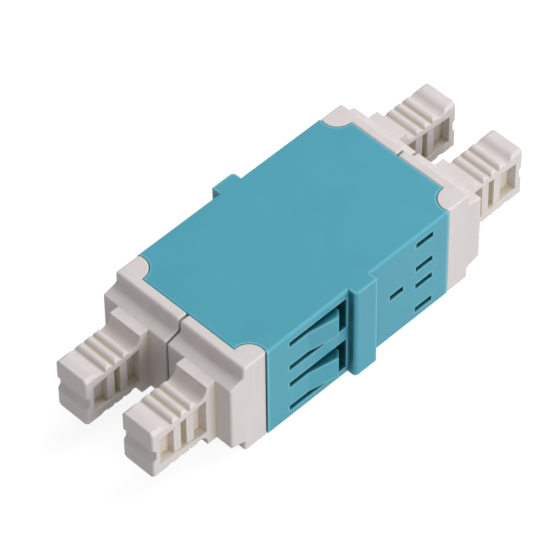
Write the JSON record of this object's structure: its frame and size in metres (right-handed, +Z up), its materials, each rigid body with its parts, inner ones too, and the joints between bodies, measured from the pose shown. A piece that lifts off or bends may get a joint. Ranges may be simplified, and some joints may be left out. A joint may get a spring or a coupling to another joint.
{
  "type": "fibre adapter",
  "caption": "Rectangular LC fibre panel adapter with side ears and latch arms, and ribbed pull-off dust caps in its ports at both ends.",
  "frame": {"origin": "bottom centre of the bounding box, midway between the two ends", "axes": "+Y along the optical axis towards the rear, +X across the two columns of ports, +Z up"},
  "size_m": [0.0204, 0.0532, 0.0127],
  "materials": {
    "housing_plastic": "satin teal moulding",
    "cap_plastic": "satin warm grey moulding",
    "holder_plastic": "satin teal moulding",
    "zirconia": "polished white ceramic"
  },
  "bodies": {
    "adapter": {"housing": "housing_plastic", "holder_front_lower_left": "holder_plastic", "holder_front_lower_right": "holder_plastic", "holder_front_upper_left": "holder_plastic", "holder_front_upper_right": "holder_plastic", "holder_rear_lower_left": "holder_plastic", "holder_rear_lower_right": "holder_plastic", "holder_rear_upper_left": "holder_plastic", "holder_rear_upper_right": "holder_plastic", "sleeve_lower_left": "zirconia", "sleeve_lower_right": "zirconia", "sleeve_upper_left": "zirconia", "sleeve_upper_right": "zirconia"},
    "dust_cap_front_left": {"dust_cap_front_left": "cap_plastic"},
    "dust_cap_front_right": {"dust_cap_front_right": "cap_plastic"},
    "dust_cap_rear_left": {"dust_cap_rear_left": "cap_plastic"},
    "dust_cap_rear_right": {"dust_cap_rear_right": "cap_plastic"}
  },
  "joints": [
    {"name": "dust_cap_front_left_pull", "type": "slide", "parent": "adapter", "child": "dust_cap_front_left", "axis": [0, -1, 0], "range_m": [0, 0.012]},
    {"name": "dust_cap_front_right_pull", "type": "slide", "parent": "adapter", "child": "dust_cap_front_right", "axis": [0, -1, 0], "range_m": [0, 0.012]},
    {"name": "dust_cap_rear_left_pull", "type": "slide", "parent": "adapter", "child": "dust_cap_rear_left", "axis": [0, 1, 0], "range_m": [0, 0.012]},
    {"name": "dust_cap_rear_right_pull", "type": "slide", "parent": "adapter", "child": "dust_cap_rear_right", "axis": [0, 1, 0], "range_m": [0, 0.012]}
  ]
}
